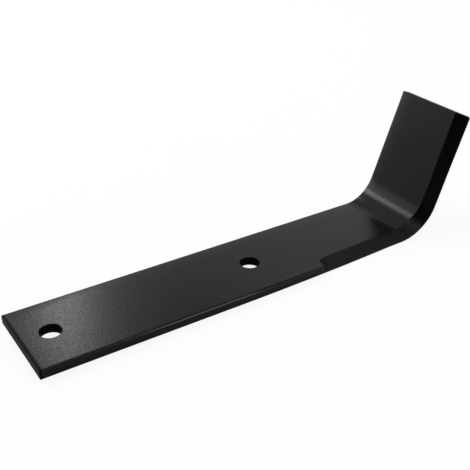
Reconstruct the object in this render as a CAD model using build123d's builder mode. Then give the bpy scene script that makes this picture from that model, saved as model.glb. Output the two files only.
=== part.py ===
from build123d import *
from math import cos, radians, sin, sqrt
import os

os.makedirs("parts", exist_ok=True)

# Rotary tiller blade: a flat steel bar with two bolt holes, bent up at one end into a wing,
# with a cutting bevel ground along the front edge of its far half. X runs along the bar,
# Y across it to the back and Z up. The origin is on the underside, on the end hole's axis.

# The bar and its bolt holes
bar_width = 60.0
thickness = 6.0
end_margin = 18.2
hole_spacing = 134.5
hole_diameter = 13.0

# The bend and the wing
bend_start = 239.3
bend_radius = 24.0
bend_angle = 70.0
wing_length = 65.5

# The front edge: how far forging draws it in by the bend, and how far in it stays on the wing
draw_start = 103.8
draw_depth = 3.7
wing_inset = 1.7

# The cutting bevel, the land that it leaves along the edge, and the cutter marks where it
# starts, each a share as long as the last
bevel_start = 175.3
bevel_width = 8.2
edge_land = 0.9
mark_count = 3
mark_pitch = 2.3
mark_radius = 0.35
mark_share = 0.45

# The run-in, where the upper front corner is worn round before the bevel: its length, how far
# the round reaches over the bar and down its edge at the bevel, and how far it bites past both
run_in_length = 60.0
run_in_width = 5.0
run_in_depth = 2.0
run_in_bite = 0.03
run_in_sections = 5

# Edges: rolled along the bar, cut at the ends, ground at the bevel, punched at the holes
upper_radius = 1.5
lower_radius = 0.4
corner_radius = 0.6
tip_radius = 1.8
ridge_radius = 0.8
rim_radius = 0.3
clearance = 1.0

front = -bar_width / 2
back = bar_width / 2
rise = radians(bend_angle)
outer_radius = bend_radius + thickness
wing_width = bar_width - wing_inset
wing_front = front + wing_inset
wing_start = bend_start + outer_radius * sin(rise)
wing_end = wing_start + wing_length * cos(rise)
wing_top = outer_radius * (1 - cos(rise)) + wing_length * sin(rise)
bevel_depth = thickness - edge_land
draw_radius = ((bend_start - draw_start) ** 2 + draw_depth**2) / (2 * draw_depth)


def front_at(x):
    """Y of the bar's front edge at x: straight, then on the arc that draws it in."""
    drawn = max(x - draw_start, 0)
    return front + draw_radius - sqrt(draw_radius**2 - drawn**2)


def long_edge(part, surface, side):
    """The long edge of the bar's under (0) or upper (1) face, at its front (0) or back (-1)."""
    flat_faces = part.faces().filter_by(Plane.XY).sort_by(Axis.Z)
    return flat_faces[surface].edges().sort_by(Axis.Y)[side]


# The blank: the side view of the bent bar, drawn along its upper line, as wide as the bar
with BuildPart() as blank:
    with BuildSketch(Plane.XZ):
        with BuildLine():
            flat = Line((-end_margin, thickness), (bend_start, thickness))
            bend = JernArc(flat @ 1, flat % 1, bend_radius, bend_angle)
            PolarLine(bend @ 1, wing_length, direction=bend % 1)
            offset(amount=thickness, side=Side.RIGHT)
        make_face()
    extrude(amount=back, both=True)

    # Seen from above, the front edge is straight, drawn in on an arc, and flares to the wing
    with BuildSketch(Plane.XY):
        with BuildLine():
            straight = Line((-end_margin, front), (draw_start, front))
            drawn = TangentArc(straight @ 1, (bend_start, front + draw_depth), tangent=straight % 1)
            flare = Spline(drawn @ 1, (wing_start, wing_front), tangents=[drawn % 1, (1, 0)])
            Polyline(
                flare @ 1,
                (wing_end, wing_front),
                (wing_end, back),
                (-end_margin, back),
                straight @ 0,
            )
        make_face()
    extrude(amount=thickness + wing_top, mode=Mode.INTERSECT)

# The holed end: the flat bar up to the bevel, with its edges rolled round
with BuildPart() as holed_end:
    add(blank.part)
    split(bisect_by=Plane.YZ.offset(bevel_start), keep=Keep.BOTTOM)
    fillet(holed_end.edges().filter_by(Axis.Z).sort_by(Axis.X)[:2], radius=corner_radius)
    upper_edges = holed_end.faces().sort_by(Axis.Z)[-1].edges().sort_by(Axis.X)[:-1]
    fillet(upper_edges, radius=upper_radius)
    lower_edges = holed_end.faces().sort_by(Axis.Z)[0].edges().sort_by(Axis.X)[:-1]
    fillet(lower_edges, radius=lower_radius)

    # The run-in wears the upper front corner to a flat oval round, which grows to the bevel
    for section in range(run_in_sections):
        share = section / (run_in_sections - 1)
        station = bevel_start - run_in_length * (1 - share)
        edge = front_at(station)
        width = run_in_width * share + upper_radius / 2 * (1 - share)
        depth = run_in_depth * share + upper_radius / 2 * (1 - share)
        with BuildSketch(Plane.YZ.offset(station)):
            with BuildLine():
                middle = (edge - run_in_bite + width, thickness + run_in_bite - depth)
                worn = EllipticalCenterArc(middle, width, depth, start_angle=90, arc_size=90)
                Polyline(
                    worn @ 1,
                    ((worn @ 1).X - clearance, (worn @ 1).Y),
                    ((worn @ 1).X - clearance, (worn @ 0).Y + clearance),
                    ((worn @ 0).X, (worn @ 0).Y + clearance),
                    worn @ 0,
                )
            make_face()
    loft(mode=Mode.SUBTRACT)

# The bevelled end: the rest of the bar with the bend and the wing, its inner front corner
# ground away at a slant from the bevel's start to the tip
with BuildPart() as bevelled_end:
    add(blank.part)
    split(bisect_by=Plane.YZ.offset(bevel_start), keep=Keep.TOP)
    flat_face = bevelled_end.faces().filter_by(Plane.XY).sort_by(Axis.Z)[1]
    cutting_edge = long_edge(bevelled_end, surface=1, side=0)
    chamfer(cutting_edge, length=bevel_width, length2=bevel_depth, reference=flat_face)
    fillet(long_edge(bevelled_end, surface=1, side=0), radius=ridge_radius)
    fillet(long_edge(bevelled_end, surface=1, side=-1), radius=upper_radius)
    fillet(long_edge(bevelled_end, surface=0, side=-1), radius=lower_radius)
    fillet(long_edge(bevelled_end, surface=0, side=0), radius=lower_radius)

    # The wing's tip has rounded corners, cut square to its face
    tip = Plane((wing_end, 0, wing_top), x_dir=(0, 1, 0), z_dir=(-sin(rise), 0, cos(rise)))
    with BuildSketch(tip):
        with Locations((wing_inset / 2, 0)):
            from_tip = (Align.CENTER, Align.MIN)
            Rectangle(wing_width, tip_radius, align=from_tip)
            RectangleRounded(
                wing_width, wing_length, tip_radius, align=from_tip, mode=Mode.SUBTRACT
            )
    extrude(amount=thickness + clearance, both=True, mode=Mode.SUBTRACT)

    # The cutter's marks lie across the bevel from its start on, each shorter than the last
    for mark in range(mark_count):
        station = bevel_start + mark_pitch * mark
        brow = Vector(station, front_at(station) + bevel_width, thickness)
        foot = Vector(station, front_at(station), edge_land)
        with Locations(Plane(brow, x_dir=(1, 0, 0), z_dir=foot - brow)):
            Cylinder(
                mark_radius,
                (foot - brow).length * mark_share**mark,
                align=(Align.CENTER, Align.CENTER, Align.MIN),
                mode=Mode.SUBTRACT,
            )

# The blade: both ends as one forging, with its bolt holes punched through from above, which
# rolls their upper rims round and leaves the lower ones sharp
with BuildPart() as blade:
    add(holed_end.part)
    add(bevelled_end.part)
    with Locations((0, 0, thickness), (hole_spacing, 0, thickness)):
        Hole(hole_diameter / 2, depth=thickness)
    upper_rims = blade.edges(Select.LAST).filter_by(GeomType.CIRCLE).group_by(Axis.Z)[-1]
    fillet(upper_rims, radius=rim_radius)

blade.part.label = "blade"
export_step(blade.part, "parts/blade.step")
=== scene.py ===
import math

import bpy
import numpy as np
from mathutils import Matrix, Quaternion, Vector


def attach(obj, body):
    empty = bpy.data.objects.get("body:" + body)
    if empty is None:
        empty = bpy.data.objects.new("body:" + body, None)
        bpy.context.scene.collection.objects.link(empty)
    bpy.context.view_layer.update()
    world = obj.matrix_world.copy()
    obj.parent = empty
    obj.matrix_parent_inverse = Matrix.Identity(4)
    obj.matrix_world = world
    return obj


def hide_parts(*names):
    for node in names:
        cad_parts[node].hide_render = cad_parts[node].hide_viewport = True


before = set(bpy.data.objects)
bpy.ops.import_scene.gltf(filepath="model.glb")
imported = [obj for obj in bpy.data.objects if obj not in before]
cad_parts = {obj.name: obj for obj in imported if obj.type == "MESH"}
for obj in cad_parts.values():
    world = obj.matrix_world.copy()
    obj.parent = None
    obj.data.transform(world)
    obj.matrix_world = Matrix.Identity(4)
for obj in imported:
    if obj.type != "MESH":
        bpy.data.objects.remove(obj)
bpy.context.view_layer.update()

# The camera: it stands in front of the blade's holed end and looks down along it at about
# 30 degrees, through a lens of 61 mm on a sensor 36 mm wide.
camera_place = Vector((-0.11056, -0.35737, 0.27612))
camera_sight = Vector((0.47416, 0.72488, -0.49971)).normalized()
camera_side = Vector((0.83836, -0.54509, 0.00479)).normalized()
camera_lens = 61.06
sensor_width = 36.0
nearest_seen = 0.01
farthest_seen = 100.0

camera_up = camera_side.cross(camera_sight).normalized()
camera_right = camera_sight.cross(camera_up).normalized()
camera_data = bpy.data.cameras.new("camera")
camera_data.sensor_fit = "HORIZONTAL"
camera_data.sensor_width = sensor_width
camera_data.lens = camera_lens
camera_data.clip_start = nearest_seen
camera_data.clip_end = farthest_seen
camera = bpy.data.objects.new("camera", camera_data)
camera_turn = Matrix((camera_right, camera_up, -camera_sight)).transposed()
camera.matrix_world = Matrix.Translation(camera_place) @ camera_turn.to_4x4()
bpy.context.scene.collection.objects.link(camera)
bpy.context.scene.camera = camera
bpy.context.scene.view_settings.view_transform = "Standard"

# The table top: the blade lies on a matt white sheet, which takes the light and the blade's
# shadow. It adds a glow to what the camera sees, so that it looks as white as the room, and a
# fainter one to what the blade mirrors.
table_half = 6.0
table_drop = 0.0002
table_corners = ((-1, -1), (1, -1), (1, 1), (-1, 1))
table_colour = (0.92, 0.92, 0.92, 1.0)
white = (1.0, 1.0, 1.0, 1.0)
camera_glow = 0.87
mirrored_glow = 0.10


def link_nodes(tree, *pairs):
    """Joins each (output, input) pair of sockets in a node tree."""
    for output, entry in pairs:
        tree.links.new(output, entry)


def larger(tree, first, second):
    """The larger of two node outputs."""
    node = tree.nodes.new("ShaderNodeMath")
    node.operation = "MAXIMUM"
    link_nodes(tree, (first, node.inputs[0]), (second, node.inputs[1]))
    return node.outputs[0]


def scaled(tree, output, factor):
    """A node output times a factor."""
    node = tree.nodes.new("ShaderNodeMath")
    node.operation = "MULTIPLY"
    node.inputs[1].default_value = factor
    link_nodes(tree, (output, node.inputs[0]))
    return node.outputs[0]


def seen_and_mirrored(tree):
    """1 for a ray from the camera and else 0, and 1 for a ray from a mirror or glass and else 0."""
    path = tree.nodes.new("ShaderNodeLightPath")
    mirrored = larger(tree, path.outputs["Is Glossy Ray"], path.outputs["Is Transmission Ray"])
    return path.outputs["Is Camera Ray"], mirrored


def show_mix(tree, share, first, second, output_kind):
    """Shows first x (1 - share) + second x share."""
    blended = tree.nodes.new("ShaderNodeMixShader")
    shown = tree.nodes.new(output_kind)
    link_nodes(
        tree,
        (share, blended.inputs[0]),
        (first.outputs[0], blended.inputs[1]),
        (second.outputs[0], blended.inputs[2]),
        (blended.outputs[0], shown.inputs["Surface"]),
    )


def stage_sheet(name, corners, paint):
    """A flat sheet with four corners, shown as part of the studio."""
    mesh = bpy.data.meshes.new(name)
    mesh.from_pydata(corners, [], [(0, 1, 2, 3)])
    mesh.materials.append(paint)
    sheet = bpy.data.objects.new(name, mesh)
    bpy.context.scene.collection.objects.link(sheet)
    return sheet


table_paint = bpy.data.materials.new("white_table")
table_paint.use_nodes = True
tree = table_paint.node_tree
tree.nodes.clear()
seen, mirrored = seen_and_mirrored(tree)
glow_share = larger(tree, scaled(tree, seen, camera_glow), scaled(tree, mirrored, mirrored_glow))
matt = tree.nodes.new("ShaderNodeBsdfDiffuse")
matt.inputs["Color"].default_value = table_colour
glow = tree.nodes.new("ShaderNodeEmission")
glow.inputs["Color"].default_value = white
show_mix(tree, glow_share, matt, glow, "ShaderNodeOutputMaterial")
stage_sheet(
    "table_top",
    [(table_half * x, table_half * y, -table_drop) for x, y in table_corners],
    table_paint,
)

# The room round the table: plain white to the camera and to what mirrors it, and a softer
# light on all else.
room_white = 1.0
room_light = 0.75


def background(tree, strength):
    """A white background of that strength."""
    node = tree.nodes.new("ShaderNodeBackground")
    node.inputs["Color"].default_value = white
    node.inputs["Strength"].default_value = strength
    return node


room = bpy.data.worlds.new("white_room")
room.use_nodes = True
bpy.context.scene.world = room
tree = room.node_tree
tree.nodes.clear()
seen, mirrored = seen_and_mirrored(tree)
show_mix(
    tree,
    larger(tree, seen, mirrored),
    background(tree, room_light),
    background(tree, room_white),
    "ShaderNodeOutputWorld",
)

# The cards: matt sheets that only the blade mirrors. The dark one at the left keeps the wing's
# bevel black, the grey one behind dims the middle of the bar, and the grey and pale ones overhead
# dim the bevel before the bend.
card_roughness = 0.9
card_mirror = 0.1


def card_paint(name, shade):
    """Matt paint of one shade of grey, from 0, black, to 1, white."""
    paint = bpy.data.materials.new(name)
    paint.use_nodes = True
    surface = paint.node_tree.nodes["Principled BSDF"]
    surface.inputs["Base Color"].default_value = (shade, shade, shade, 1.0)
    surface.inputs["Roughness"].default_value = card_roughness
    surface.inputs["Specular IOR Level"].default_value = card_mirror
    return paint


def hang_card(name, paint, *corners):
    """A sheet of the studio that the camera doesn't see."""
    card = stage_sheet(name, corners, paint)
    card.visible_camera = False


dark = card_paint("black_card", 0.01)
grey = card_paint("grey_card", 0.55)
pale = card_paint("pale_card", 0.75)
hang_card(
    "dark_card", dark, (-0.78, 0.02, 0.0), (-0.36, -0.92, 0.0), (-0.30, -0.86, 0.95), (-0.70, 0.02, 0.95)
)
hang_card(
    "grey_card", grey, (0.56, 1.06, 0.79), (0.76, 0.98, 0.79), (0.76, 0.92, 1.05), (0.56, 1.00, 1.05)
)
hang_card(
    "top_card", grey, (0.24, -0.62, 1.12), (0.58, -0.62, 1.12), (0.58, -0.28, 1.12), (0.24, -0.28, 1.12)
)
hang_card(
    "pale_card", pale, (0.99, -0.43, 0.84), (1.06, -0.21, 0.84), (0.82, -0.14, 1.04), (0.75, -0.36, 1.04)
)

# The lamps: soft boxes that the paint mirrors. The strip behind draws the band by the first hole,
# box_left and box_back the line in the bend, panel_left and glow_left its fading up the wing, and
# the rest the front edge, its worn corner and the bevel in the bend.


def soft_box(name, place, aim, width, height, radiance, roll=0.0):
    """A flat lamp at place that faces aim, rolled by degrees; power is radiance x pi x its area."""
    data = bpy.data.lights.new(name, "AREA")
    data.shape = "RECTANGLE"
    data.size = width
    data.size_y = height
    data.energy = radiance * math.pi * width * height
    lamp = bpy.data.objects.new(name, data)
    facing = (Vector(aim) - Vector(place)).to_track_quat("-Z", "Y")
    lamp.location = place
    lamp.rotation_mode = "QUATERNION"
    lamp.rotation_quaternion = facing @ Quaternion((0.0, 0.0, 1.0), math.radians(roll))
    lamp.visible_camera = False
    bpy.context.scene.collection.objects.link(lamp)


soft_box("strip_behind", (0.365, 1.075, 0.79), (0.008, 0.0, 0.0), 0.05, 0.26, 22.0)
soft_box("box_left", (-0.325, 0.891, 0.917), (0.255, 0.0, 0.01), 0.27, 0.24, 10.3, roll=45.0)
soft_box("box_back", (-0.275, 1.020, 0.798), (0.255, 0.02, 0.01), 0.14, 0.24, 17.0, roll=45.0)
soft_box("panel_left", (-0.44, 1.14, 0.40), (0.27, 0.0, 0.05), 0.46, 0.62, 3.2)
soft_box("box_front", (0.68, -1.17, 0.24), (0.10, -0.03, 0.0), 0.45, 0.30, 12.0)
soft_box("strip_above", (-0.19, -0.57, 1.02), (0.258, -0.025, 0.01), 0.12, 0.30, 3.0, roll=45.0)
soft_box("panel_above", (0.85, 0.36, 1.02), (0.15, -0.03, 0.0), 0.68, 0.32, 1.55, roll=-30.0)
soft_box("glow_left", (-0.66, 0.87, 0.61), (0.26, 0.0, 0.02), 0.44, 0.50, 1.0, roll=34.0)

# The blade: one piece of flat spring steel, 60 x 6 mm, with two punched bolt holes. Its far end
# is forged in, bent up hot to a wing and ground to a bevel, and all of it is painted satin black.
# Lengths are in millimetres, and s runs along the bar, round the bend's inside and up the wing.
width = 60.0
thickness = 6.0
end_x = -18.2
bend_x = 239.3
inner_radius = 24.0
outer_radius = inner_radius + thickness
rise = math.radians(70.0)
wing_length = 65.5
wing_s = bend_x + inner_radius * rise
tip_s = wing_s + wing_length
hole_spacing = 134.5
hole_radius = 6.5
millimetre = 0.001

# The front edge is drawn in from draw_x to the bend, and comes out again to the wing. Forging
# left it standing out in two swells, each given by its place, spread and height.
draw_x = 103.8
draw_radius = 2483.0
wing_front = -28.3
swells = ((248.0, 8.0, 0.40), (275.0, 15.0, 0.28))


def ramp(s, start, length):
    """0 up to start, 1 from a length past it on, and 3t^2 - 2t^3 between, t being the share passed."""
    t = np.clip((s - start) / length, 0.0, 1.0)
    return t * t * (3.0 - 2.0 * t)


def bell(s, place, spread):
    """1 at a place, falling off on both sides: exp(-((s - place) / spread)^2)."""
    return np.exp(-(((s - place) / spread) ** 2))


def between(first, second, share):
    """first + (second - first) x share."""
    return first + (second - first) * share


def round_off(distance, radius):
    """How far an edge of radius r falls back at a distance d: r - sqrt(r^2 - (r - d)^2)."""
    d = np.clip(distance, 0.0, radius)
    return radius - np.sqrt(np.maximum(radius**2 - (radius - d) ** 2, 0.0))


def front_edge(s):
    """Y of the front edge at s: -30 plus R - sqrt(R^2 - drawn^2) on the bar, ramped to the wing's
    from the bend on, less the swells."""
    drawn = np.clip(s - draw_x, 0.0, bend_x - draw_x)
    bar = -width / 2 + draw_radius - np.sqrt(draw_radius**2 - drawn**2)
    swell = sum(height * bell(s, place, spread) for place, spread, height in swells)
    return between(bar, wing_front, ramp(s, bend_x, wing_s - bend_x)) - swell


def carry(s, y, z):
    """The point y across and z up from the underside at s: straight along x up to the bend, then
    round a centre above it by the angle (s - bend_x) / inner_radius, then straight up the wing."""
    angle = np.clip((s - bend_x) / inner_radius, 0.0, rise)
    along = np.maximum(s - wing_s, 0.0)
    x = np.minimum(s, bend_x) + (outer_radius - z) * np.sin(angle) + along * math.cos(rise)
    up = outer_radius - (outer_radius - z) * np.cos(angle) + along * math.sin(rise)
    return np.stack([x, np.broadcast_to(y, x.shape), up], axis=-1)


def stretch(start, stop, step):
    """Evenly spaced stations from start up to, but without, stop, about a step apart."""
    count = max(int(round((stop - start) / step)), 1)
    return start + (stop - start) * np.arange(count) / count


def rounded_loop(corners, radii, arc_steps, runs):
    """Loops round polygons: each corner becomes an arc, tangent at r / tan(half its angle) from it,
    and the arcs are joined by straight runs, divided at the shares given."""
    pieces = []
    count = corners.shape[1]
    before = np.roll(corners, 1, axis=1) - corners
    after = np.roll(corners, -1, axis=1) - corners
    before /= np.linalg.norm(before, axis=-1, keepdims=True)
    after /= np.linalg.norm(after, axis=-1, keepdims=True)
    half = np.arccos(np.clip(np.sum(before * after, axis=-1), -1.0, 1.0)) / 2
    reach = radii / np.tan(half)
    entry = corners + before * reach[..., None]
    leave = corners + after * reach[..., None]
    bisector = before + after
    bisector /= np.linalg.norm(bisector, axis=-1, keepdims=True)
    centre = corners + bisector * (radii / np.sin(half))[..., None]
    sweep = (math.pi - 2 * half)[..., None, None]
    t = np.linspace(0.0, 1.0, arc_steps + 1)[None, None, :, None]
    arms = np.sin((1 - t) * sweep) * (entry - centre)[:, :, None, :]
    arms = arms + np.sin(t * sweep) * (leave - centre)[:, :, None, :]
    arcs = centre[:, :, None, :] + arms / np.sin(sweep)
    for corner in range(count):
        pieces.append(arcs[:, corner])
        share = runs[corner][None, :, None]
        start = leave[:, corner][:, None, :]
        stop = entry[:, (corner + 1) % count][:, None, :]
        pieces.append(between(start, stop, share))
    return np.concatenate(pieces, axis=1)


# The stations along the blade lie close together in the end's and the tip's rounded edges, over
# the cutter's marks, in the bend and beside the holes. Both end faces have a station of their own.
end_run = 2.0
end_count = 10
tip_run = 1.8
tip_count = 9
tip_margin = 2.4
hole_window = 10.0
marks_from = 171.5
marks_to = 183.0
plain_step = 1.5
hole_step = 1.0
mark_step = 0.12
bend_step = 0.75
end_turn = np.linspace(0.0, math.pi / 2, end_count)
tip_turn = np.linspace(0.0, math.pi / 2, tip_count)
stations = np.concatenate(
    [
        [end_x],
        end_x + end_run * (1 - np.cos(end_turn)[:-1]),
        stretch(end_x + end_run, -hole_window, hole_step),
        stretch(-hole_window, hole_window, hole_step),
        stretch(hole_window, hole_spacing - hole_window, plain_step),
        stretch(hole_spacing - hole_window, hole_spacing + hole_window, hole_step),
        stretch(hole_spacing + hole_window, marks_from, plain_step),
        stretch(marks_from, marks_to, mark_step),
        stretch(marks_to, bend_x, plain_step),
        stretch(bend_x, wing_s, bend_step),
        stretch(wing_s, tip_s - tip_margin, plain_step),
        tip_s - tip_run * (1 - np.sin(tip_turn)),
        [tip_s],
    ]
)

# The roundings of the end's and the tip's edges, and how far their faces are set in from them
end_corner = 0.2
end_upper = 0.9
end_lower = 0.4
end_set_in = 0.15
tip_front_corner = 1.8
tip_back_corner = 1.0
tip_upper = 0.4
tip_lower = 0.2
tip_set_in = 0.06
from_end = stations - end_x
from_tip = tip_s - stations
set_in = np.zeros(len(stations))
set_in[[0, -1]] = (end_set_in, tip_set_in)
front_in = round_off(from_end, end_corner) + round_off(from_tip, tip_front_corner) + set_in
back_in = round_off(from_end, end_corner) + round_off(from_tip, tip_back_corner) + set_in
top = thickness - round_off(from_end, end_upper) - round_off(from_tip, tip_upper) - set_in
base = round_off(from_end, end_lower) + round_off(from_tip, tip_lower) + set_in

# The upper front corner is cut off by a width and a depth: a little at the sheared end, more on
# the bar, wider where it is worn before the bevel, and down to a land where it is ground to the
# bevel, whose width follows the grinder's hand.
settle_s = 20.0
settle_length = 50.0
end_cut = 0.55
bar_cut_width = 0.8
bar_cut_depth = 1.3
worn_from = 115.3
worn_to = 175.3
worn_cut_width = 3.0
worn_cut_depth = 1.25
bevel_s = 172.9
bevel_cut_in = 0.5
land = 0.9
bevel_places = (bevel_s, 174.5, 176.5, 179.0, 182.0, 193.0, 213.0, 250.0, wing_s + 15, wing_s + 38, tip_s)
bevel_widths = (6.4, 7.4, 8.1, 8.6, 8.8, 8.8, 8.45, 8.0, 7.2, 7.7, 8.4)
settled = ramp(stations, settle_s, settle_length)
worn = np.clip((stations - worn_from) / (worn_to - worn_from), 0.0, 1.0)
ground = ramp(stations, bevel_s, bevel_cut_in)
bevel_width = np.interp(stations, bevel_places, bevel_widths)
cut_width = between(between(end_cut, bar_cut_width, settled), worn_cut_width, worn)
cut_width = between(cut_width, bevel_width, ground)
cut_depth = between(between(end_cut, bar_cut_depth, settled), worn_cut_depth, worn)
cut_depth = between(cut_depth, thickness - land, ground)

# Each section has five corners: the lower front one, the cut's foot and its ridge, and the upper
# and lower back ones.
front = front_edge(stations)
foot = top - cut_depth + ground * front_in * cut_depth / cut_width
ridge = front + cut_width + (1 - ground) * front_in
corners = np.stack(
    [
        np.stack([front + front_in, base], axis=-1),
        np.stack([front + front_in, foot], axis=-1),
        np.stack([ridge, top], axis=-1),
        np.stack([width / 2 - back_in, top], axis=-1),
        np.stack([width / 2 - back_in, base], axis=-1),
    ],
    axis=1,
)

# Their radii: the foot is rounded as the bar settles and sharpened again before the bevel, the
# ridge turns to a soft round where the corner is worn, and all are tighter at the end and the tip.
lower_round = 0.4
sharp_lower_round = 0.2
lower_sharp_s = 225.0
lower_sharp_length = 15.0
back_round = 0.7
end_round = 0.9
bar_foot_round = 2.4
bar_ridge_round = 1.35
sharpen_s = 100.0
sharpen_length = 40.0
sharp_foot_round = 0.5
worn_ridge_round = 9.0
ground_foot_round = 0.3
ground_ridge_round = 0.8
tight_run = 1.8
tight_share = 0.55
foot_round = between(end_round, bar_foot_round, settled)
foot_round = between(foot_round, sharp_foot_round, ramp(stations, sharpen_s, sharpen_length))
ridge_round = between(between(end_round, bar_ridge_round, settled), worn_ridge_round, worn)
radii = np.stack(
    [
        between(lower_round, sharp_lower_round, ramp(stations, lower_sharp_s, lower_sharp_length)),
        between(foot_round, ground_foot_round, ground),
        between(ridge_round, ground_ridge_round, ground),
        np.full(len(stations), back_round),
        np.full(len(stations), lower_round),
    ],
    axis=-1,
)
near_end = np.clip(np.minimum(from_end, from_tip) / tight_run, 0.0, 1.0)
radii *= between(tight_share, 1.0, near_end)[:, None]

# The runs between the corners, divided at shares of their length, and where each starts in a loop
arc_steps = 6
edge_parts = 5
bevel_parts = 11
face_stops = 55
face_margin = 0.03
face_outermost = 0.012
edge_run = np.linspace(0.0, 1.0, edge_parts + 1)[1:-1]
bevel_run = np.linspace(0.0, 1.0, bevel_parts + 1)[1:-1]
face_run = np.linspace(face_margin, 1 - face_margin, face_stops)
face_run = np.concatenate([[face_outermost], face_run, [1 - face_outermost]])
loop = rounded_loop(corners, radii, arc_steps, (edge_run, bevel_run, face_run, edge_run, face_run))
rows, columns = loop.shape[:2]
arc_count = arc_steps + 1
foot_first = arc_count + len(edge_run)
bevel_first = foot_first + arc_count
top_first = bevel_first + len(bevel_run) + arc_count
back_first = top_first + len(face_run)
base_first = columns - len(face_run)
lower_front_slots = slice(0, arc_count)
foot_slots = slice(foot_first, bevel_first)
bevel_slots = slice(bevel_first, bevel_first + len(bevel_run))
back_slots = slice(back_first, base_first)

# The cutter's marks are grooves across the bevel, each ending higher up it than the last. Each
# has a dull side just before its middle.
first_mark_s = 175.6
mark_pitch = 2.25
mark_spread = 0.45
mark_depth = 0.42
mark_fade = 0.15
mark_ends = (-mark_fade, 0.2, 0.6)
shade_ahead = 0.25
shade_spread = 0.35
inward = np.stack([cut_depth, -cut_width], axis=-1)
inward /= np.linalg.norm(inward, axis=-1, keepdims=True)
marked = np.zeros((rows, len(bevel_run)))
for mark, mark_end in enumerate(mark_ends):
    mark_s = first_mark_s + mark_pitch * mark
    up_bevel = ramp(bevel_run, mark_end, mark_fade)[None, :]
    groove = mark_depth * bell(stations, mark_s, mark_spread)[:, None] * up_bevel
    shaded = bell(stations, mark_s - shade_ahead, shade_spread)[:, None] * up_bevel
    loop[:, bevel_slots] += groove[..., None] * inward[:, None, :]
    marked = np.maximum(marked, shaded)

# The bar's upper face falls away a little towards its back edge, as rolled flat bar does.
fall_from = 16.0
fall_span = 12.5
fall_depth = 0.23
upper_band = 1.0
fall = fall_depth * (np.clip(loop[..., 0] - fall_from, 0.0, None) / fall_span) ** 3
loop[..., 1] -= fall * (loop[..., 1] > thickness - upper_band)

# How dull the paint is, from 0 to 1: most on the sheared end, in the holes and round the tip, less
# on the front edge's lower and worn corners, on the back edge of the bend and the wing, and on the
# bevel, which is dull in its marks. Faces above bare_from get the dull paint.
end_dull = 0.9
end_dull_from = 14.8
end_dull_length = 2.8
bevel_dull = 0.18
lower_front_dull = 0.5
worn_dull = 0.58
worn_dull_s = 112.0
worn_dull_length = 25.0
back_dull = 0.45
back_dull_s = 215.0
back_dull_length = 25.0
tip_dull = 0.7
tip_dull_length = 0.6
hole_dull = 0.8
bare_from = 0.62
worn_share = ramp(stations, worn_dull_s, worn_dull_length)
dull = np.zeros((rows, columns))
for slots, least in (
    (slice(None), end_dull * ramp(-stations, end_dull_from, end_dull_length)[:, None]),
    (bevel_slots, np.maximum(marked, bevel_dull * ground[:, None])),
    (lower_front_slots, lower_front_dull),
    (foot_slots, (worn_dull * worn_share * (1 - ground))[:, None]),
    (back_slots, back_dull * ramp(stations, back_dull_s, back_dull_length)[:, None]),
):
    dull[:, slots] = np.maximum(dull[:, slots], least)
dull[from_tip < tip_dull_length] = tip_dull

points = carry(np.repeat(stations[:, None], columns, axis=1), loop[..., 0], loop[..., 1])
index = np.arange(rows * columns).reshape(rows, columns)


def ring_faces(rings, inside=False):
    """A four-sided face between each two neighbours of a ring and the same two of the next one, wound
    to face away from the steel, which is the other way round inside a hole."""
    here, there = rings[:-1], rings[1:]
    here_next, there_next = np.roll(here, -1, axis=1), np.roll(there, -1, axis=1)
    wound = (here, here_next, there_next, there) if inside else (here, there, there_next, here_next)
    return np.stack(wound, axis=-1)


def window(row_low, row_high, column_from, column_to):
    """The grid's vertices once round a rectangle of it: up the rows in one column, across, down the
    rows in the other column and back."""
    step = 1 if column_to > column_from else -1
    first = index[row_low:row_high, column_from]
    second = index[row_high, column_from:column_to:step]
    third = index[row_high:row_low:-1, column_to]
    fourth = index[row_low, column_to:column_from:-step]
    return np.concatenate([first, second, third, fourth])


# The holes, punched through from above: each stands in a window of the upper face, whose edge
# closes in ring by ring on the rolled upper rim. The wall goes down to a small chamfer, and rings
# widen again to a window of the lower face.
upper_rim = 0.3
lower_rim = 0.15
rim_steps = 4
wall_steps = 4
rim_turn = np.linspace(0.0, math.pi / 2, rim_steps + 1)
ring_shares = np.array([0.3, 0.6, 0.82, 0.94])[:, None, None]
wall_z = np.linspace(thickness - upper_rim, lower_rim, wall_steps + 1)[1:]
profile_r = np.concatenate(
    [
        hole_radius + upper_rim * (1 - np.sin(rim_turn)),
        np.full(wall_steps, hole_radius),
        [hole_radius + lower_rim],
    ]
)
profile_z = np.concatenate([thickness - upper_rim * (1 - np.cos(rim_turn)), wall_z, [0.0]])
first_wall_ring = len(ring_shares) + rim_steps

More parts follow.
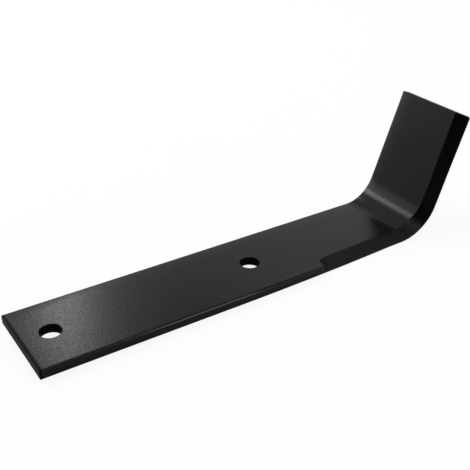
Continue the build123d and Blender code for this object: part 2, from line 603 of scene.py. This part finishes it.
quads = ring_faces(index)
keep = np.ones(quads.shape[:2], bool)
grid_points = points.reshape(-1, 3)
all_points = [grid_points]
all_dull = [dull.ravel()]
hole_faces = []
vertex_total = rows * columns
for hole_x in (0.0, hole_spacing):
    low_row = int(np.argmin(np.abs(stations - (hole_x - hole_window))))
    high_row = int(np.argmin(np.abs(stations - (hole_x + hole_window))))
    middle_y = loop[(low_row + high_row) // 2, top_first:back_first, 0]
    low_step = int(np.argmin(np.abs(middle_y + hole_window)))
    high_step = int(np.argmin(np.abs(middle_y - hole_window)))
    upper_low, upper_high = top_first + low_step, top_first + high_step
    lower_low, lower_high = columns - 1 - high_step, columns - 1 - low_step
    keep[low_row:high_row, upper_low:upper_high] = False
    keep[low_row:high_row, lower_low:lower_high] = False
    upper = window(low_row, high_row, upper_low, upper_high)
    lower = window(low_row, high_row, lower_high, lower_low)
    outer, under = grid_points[upper], grid_points[lower]
    bearing = np.arctan2(outer[:, 1], outer[:, 0] - hole_x)
    wall = np.empty((len(profile_r), len(upper), 3))
    wall[..., 0] = hole_x + profile_r[:, None] * np.cos(bearing)
    wall[..., 1] = profile_r[:, None] * np.sin(bearing)
    wall[..., 2] = profile_z[:, None]
    entry_rings = between(outer, wall[:1], ring_shares)
    exit_rings = between(wall[-1:], under, 1 - ring_shares[::-1])
    tube = np.concatenate([entry_rings, wall, exit_rings])
    tube_dull = np.zeros(tube.shape[:2])
    tube_dull[first_wall_ring:] = hole_dull
    own = vertex_total + np.arange(tube_dull.size).reshape(tube_dull.shape)
    vertex_total += own.size
    all_points.append(tube.reshape(-1, 3))
    all_dull.append(tube_dull.ravel())
    rings = np.concatenate([upper[None], own, lower[None]])
    hole_faces.append(ring_faces(rings, inside=True).reshape(-1, 4))

# The mesh: the sections' faces, the holes' and one face over each end, the sheared one bare.
faces = np.concatenate([quads[keep]] + hole_faces)
dull_points = np.concatenate(all_dull)
bare = np.append(dull_points[faces].mean(axis=1) > bare_from, [True, False]).astype(np.int32)
end_faces = [index[0].tolist(), index[-1][::-1].tolist()]
vertices = np.concatenate(all_points) * millimetre
blade_mesh = bpy.data.meshes.new("tiller_blade")
blade_mesh.from_pydata(vertices.tolist(), [], faces.tolist() + end_faces)
shade = blade_mesh.attributes.new("dull", "FLOAT", "POINT")
shade.data.foreach_set("value", dull_points)
blade_mesh.polygons.foreach_set("material_index", bare)
blade_mesh.validate()
blade_mesh.update()
blade_mesh.shade_smooth()
blade = bpy.data.objects.new("tiller_blade", blade_mesh)
bpy.context.scene.collection.objects.link(blade)

# The paint: satin black with a fine grain, duller where the steel under it is rough or worn. The
# second paint is for the bare-looking end, tip and holes, and mirrors less.
paint_colour = (0.0012, 0.0012, 0.0013, 1.0)
worn_roughness = 0.5
cloud_scale = 900.0
cloud_detail = 2.0
cloud_roughness = 0.6
cloud_low = 0.3
cloud_high = 0.7
grain_scale = 700.0
grain_detail = 1.0
grain_strength = 1.0
grain_height = 0.00004


def black_paint(name, mirror, satin, matt):
    """Black paint whose roughness goes from satin to matt with a cloudy noise, and from there to
    worn_roughness with the dull attribute, under the bump of a finer grain."""
    paint = bpy.data.materials.new(name)
    paint.use_nodes = True
    tree = paint.node_tree
    surface = tree.nodes["Principled BSDF"]
    surface.inputs["Base Color"].default_value = paint_colour
    surface.inputs["Metallic"].default_value = 0.0
    surface.inputs["Specular IOR Level"].default_value = mirror
    place = tree.nodes.new("ShaderNodeTexCoord")
    dullness = tree.nodes.new("ShaderNodeAttribute")
    dullness.attribute_name = "dull"
    cloud = tree.nodes.new("ShaderNodeTexNoise")
    cloud.inputs["Scale"].default_value = cloud_scale
    cloud.inputs["Detail"].default_value = cloud_detail
    cloud.inputs["Roughness"].default_value = cloud_roughness
    gloss = tree.nodes.new("ShaderNodeMapRange")
    gloss.inputs["From Min"].default_value = cloud_low
    gloss.inputs["From Max"].default_value = cloud_high
    gloss.inputs["To Min"].default_value = satin
    gloss.inputs["To Max"].default_value = matt
    worn_gloss = tree.nodes.new("ShaderNodeMapRange")
    worn_gloss.inputs["To Max"].default_value = worn_roughness
    grain = tree.nodes.new("ShaderNodeTexNoise")
    grain.inputs["Scale"].default_value = grain_scale
    grain.inputs["Detail"].default_value = grain_detail
    bump = tree.nodes.new("ShaderNodeBump")
    bump.inputs["Strength"].default_value = grain_strength
    bump.inputs["Distance"].default_value = grain_height
    link_nodes(
        tree,
        (dullness.outputs["Fac"], worn_gloss.inputs["Value"]),
        (place.outputs["Object"], cloud.inputs["Vector"]),
        (cloud.outputs["Fac"], gloss.inputs["Value"]),
        (gloss.outputs["Result"], worn_gloss.inputs["To Min"]),
        (worn_gloss.outputs["Result"], surface.inputs["Roughness"]),
        (place.outputs["Object"], grain.inputs["Vector"]),
        (grain.outputs["Fac"], bump.inputs["Height"]),
        (bump.outputs["Normal"], surface.inputs["Normal"]),
    )
    return paint


blade_mesh.materials.append(black_paint("satin_black_paint", mirror=0.15, satin=0.20, matt=0.28))
blade_mesh.materials.append(black_paint("dull_black_paint", mirror=0.04, satin=0.36, matt=0.46))
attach(blade, "root")
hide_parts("blade")
